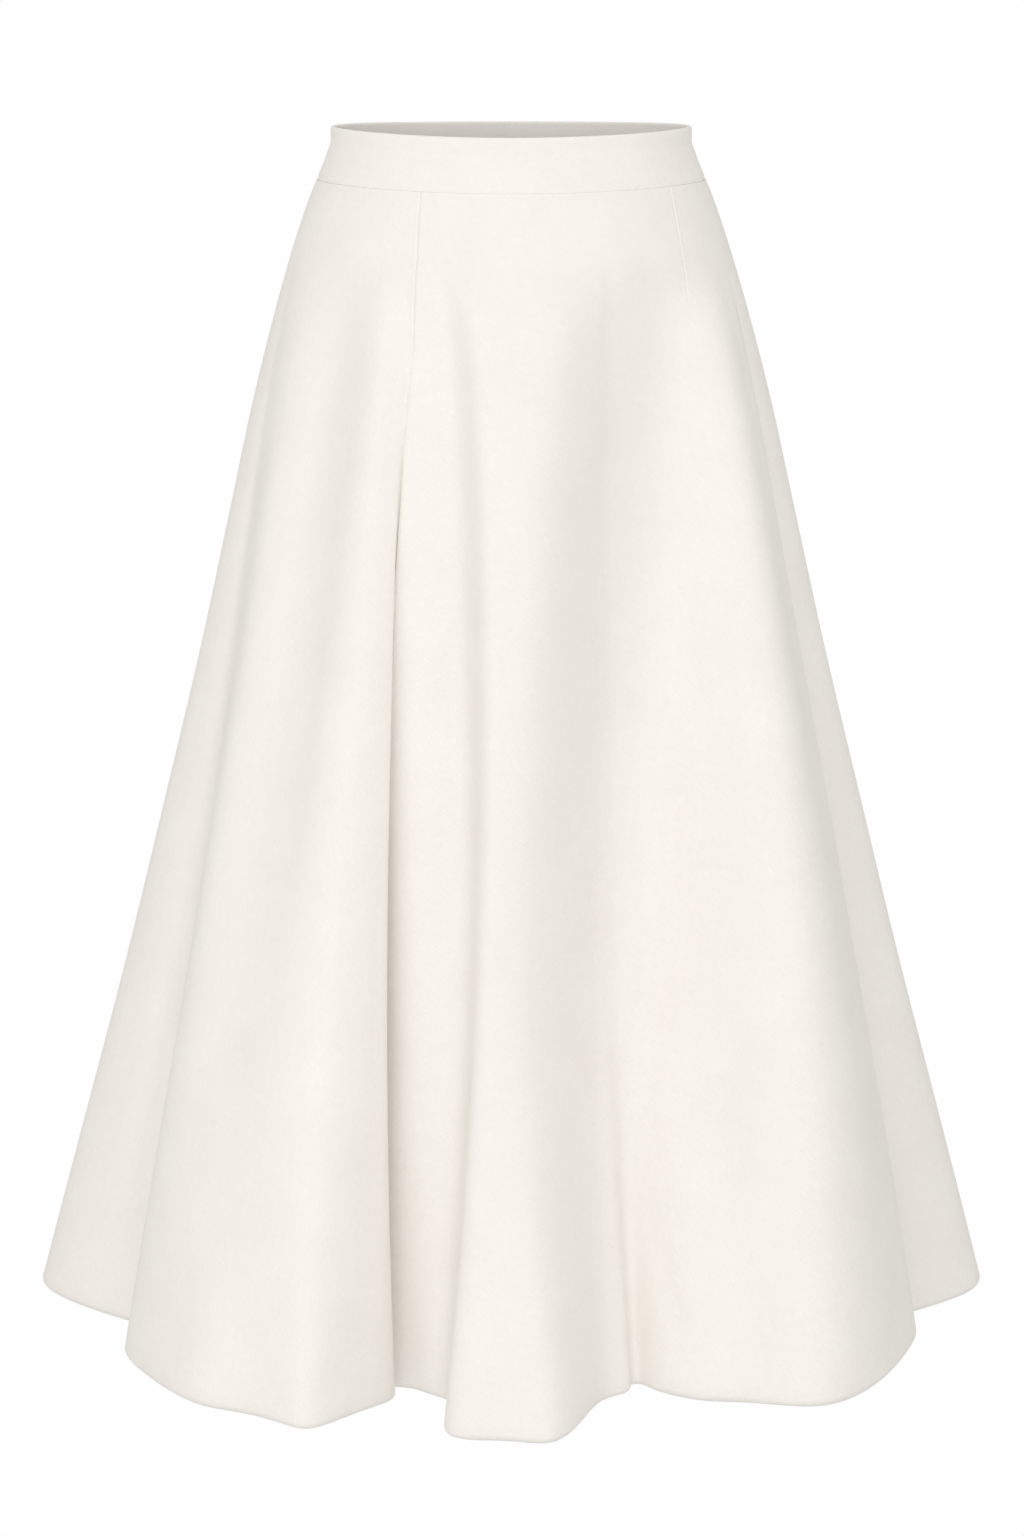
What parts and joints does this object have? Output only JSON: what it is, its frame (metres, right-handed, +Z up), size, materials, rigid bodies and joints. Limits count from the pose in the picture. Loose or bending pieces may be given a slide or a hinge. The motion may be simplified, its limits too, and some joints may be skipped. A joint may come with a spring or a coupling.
{
  "type": "balloon skirt",
  "caption": "Long full skirt worn and hollow: a shaped waistband over panels that fall in deep soft flutes to a round turned-under hem.",
  "frame": {"origin": "the middle of the waist, inside the waistband and 19 mm below its top edge at the sides", "axes": "+Z up, -Y the way the front faces, +X to the right as seen from the front"},
  "size_m": [0.6669, 0.6012, 0.81],
  "materials": {
    "ivory_crepe": "matt ivory double crepe with a fine brushed grain and a faint soft sheen"
  },
  "bodies": {
    "root": {"waistband_front": "ivory_crepe", "waistband_back_left": "ivory_crepe", "waistband_back_right": "ivory_crepe", "front_left": "ivory_crepe", "front_right": "ivory_crepe", "back_left": "ivory_crepe", "back_right": "ivory_crepe"}
  },
  "joints": []
}
